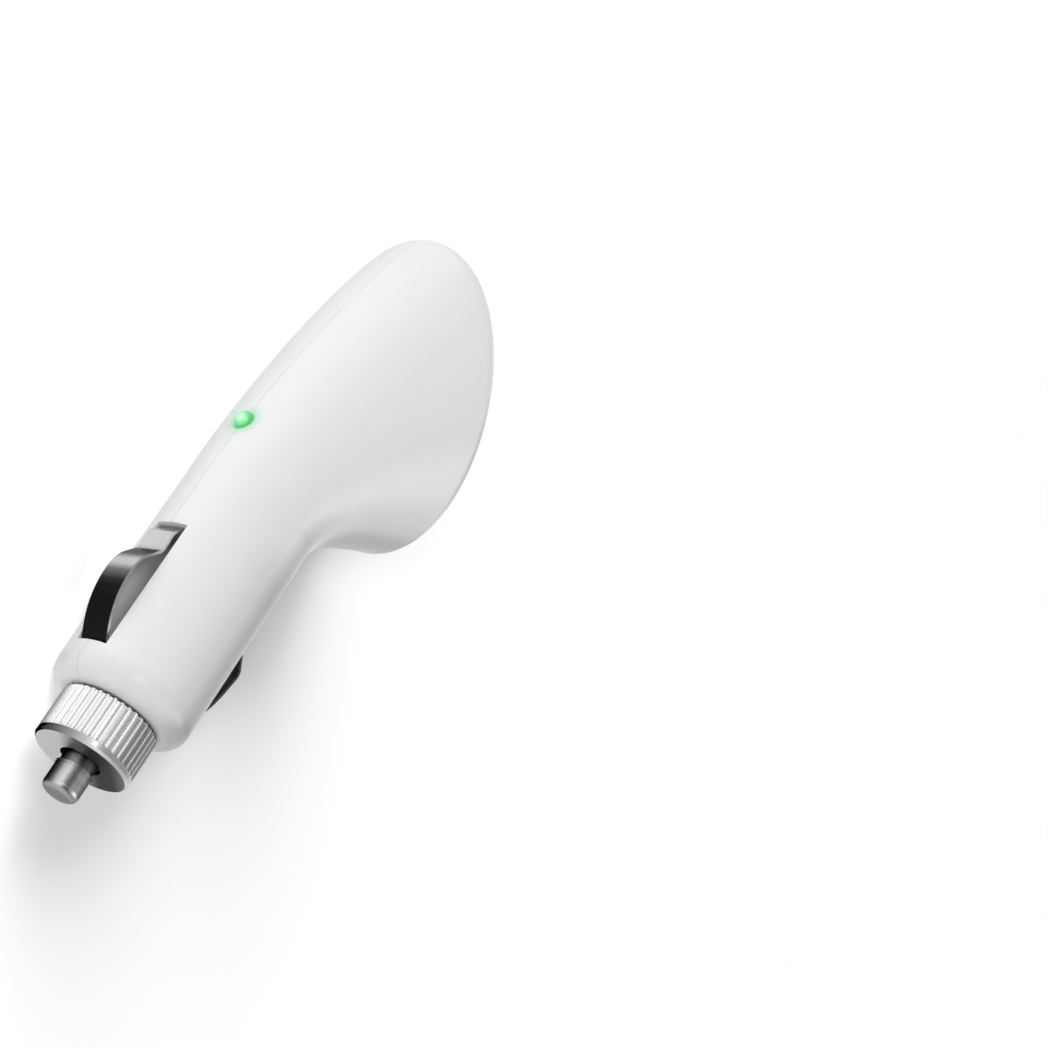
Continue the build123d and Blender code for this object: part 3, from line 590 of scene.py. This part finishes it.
def dress():
    """Material on every node: its own, or its slot's."""
    looks = slot_looks()
    own_looks = {
        # Painted reflections and painted shade on the tip
        "tip_pin": reflection_painted_steel("reflection_painted_steel"),
        # Painted reflections on the upper contact
        "upper_contact": reflection_painted_strip("reflection_painted_nickel"),
        # Painted shade on the inner face of the lower contact
        "lower_contact": shade_painted_nickel("shade_painted_nickel"),
    }
    for entry in frame["record"]["subparts"]:
        mesh = frame["nodes"][entry["node"]].data
        look = own_looks.get(entry["node"], looks[entry["material_slot"]])
        mesh.materials.clear()
        mesh.materials.append(look.owner)


def add_spring():
    """Spring of the tip: its own copy of the fuse spring, carried with the housing in the fuse spring's
    place.
    """
    node = frame["nodes"]["fuse_spring"]
    spring = bpy.data.objects.new("coil_spring", node.data.copy())
    bpy.context.scene.collection.objects.link(spring)
    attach(spring, "housing")
    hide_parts("fuse_spring")
    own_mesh(spring)


def add_camera():
    """Camera at the photograph's place relative to the plug."""
    data = bpy.data.cameras.new("camera")
    data.sensor_fit = "HORIZONTAL"
    data.sensor_width = SENSOR_WIDTH
    data.lens = CAMERA_LENS
    data.clip_start = NEAREST
    data.clip_end = FARTHEST
    camera = bpy.data.objects.new("camera", data)
    axes = Matrix((CAMERA_RIGHT, CAMERA_UP, CAMERA_BACK)).transposed().to_4x4()
    camera.matrix_world = Matrix.Translation(CAMERA_PLACE) @ axes
    bpy.context.scene.collection.objects.link(camera)
    bpy.context.scene.camera = camera


def add_floor():
    """Wide pale floor that keeps the plug's shadow."""
    half = FLOOR_SIZE / 2
    corners = [(-half, -half, 0), (half, -half, 0), (half, half, 0), (-half, half, 0)]
    mesh = bpy.data.meshes.new("floor")
    mesh.from_pydata(corners, [], [(0, 1, 2, 3)])
    floor = bpy.data.objects.new("floor", mesh)
    bpy.context.scene.collection.objects.link(floor)
    nodes = new_material("floor")
    colour = nodes.mottled(FLOOR_COLOUR, FLOOR_PATCH_SHADE, FLOOR_PATCHES)
    nodes.set(Base_Color=colour, Roughness=FLOOR_ROUGHNESS, Specular_IOR_Level=0.0)
    mesh.materials.append(nodes.owner)
    return floor


def add_lamp(name, direction, strength, width, floor, state):
    """Soft distant lamp that lights the floor alone or all but the floor."""
    data = bpy.data.lights.new(name, "SUN")
    data.energy = strength
    data.angle = math.radians(width)
    lamp = bpy.data.objects.new(name, data)
    lamp.rotation_euler = direction.to_track_quat("Z", "Y").to_euler()
    bpy.context.scene.collection.objects.link(lamp)
    group = bpy.data.collections.new(name)
    group.objects.link(floor)
    group.collection_objects[0].light_linking.link_state = state
    lamp.light_linking.receiver_collection = group
    return lamp


def add_lamps(floor):
    """Three lamps for the plug, one of which metal doesn't reflect, and two for the floor."""
    add_lamp("key_lamp", *KEY_LAMP, floor, ALL_BUT_FLOOR)
    add_lamp("top_lamp", *TOP_LAMP, floor, ALL_BUT_FLOOR)
    back_lamp = add_lamp("back_lamp", *BACK_LAMP, floor, ALL_BUT_FLOOR)
    back_lamp.visible_glossy = False
    add_lamp("shadow_lamp", *SHADOW_LAMP, floor, FLOOR_ALONE)
    add_lamp("floor_lamp", *FLOOR_LAMP, floor, FLOOR_ALONE)


def add_world():
    """Pale surroundings: white near the horizon, so that no edge of the floor shows, and darker overhead."""
    world = bpy.data.worlds.new("world")
    bpy.context.scene.world = world
    nodes = Nodes(world, "Background")
    rays = nodes.add("ShaderNodeLightPath")
    overhead = nodes.between(rays.outputs["Is Glossy Ray"], OVERHEAD_LIGHT, OVERHEAD_SHINE)
    direction = nodes.add("ShaderNodeTexCoord").outputs["Generated"]
    climb = nodes.fade(nodes.along(direction, UPWARD), HORIZON_END, OVERHEAD_START)
    nodes.set(Color=WHITE, Strength=nodes.between(climb, HORIZON_LIGHT, overhead))


add_camera()
add_lamps(add_floor())
add_world()
dress()
add_spring()
bpy.context.scene.view_settings.view_transform = "Standard"
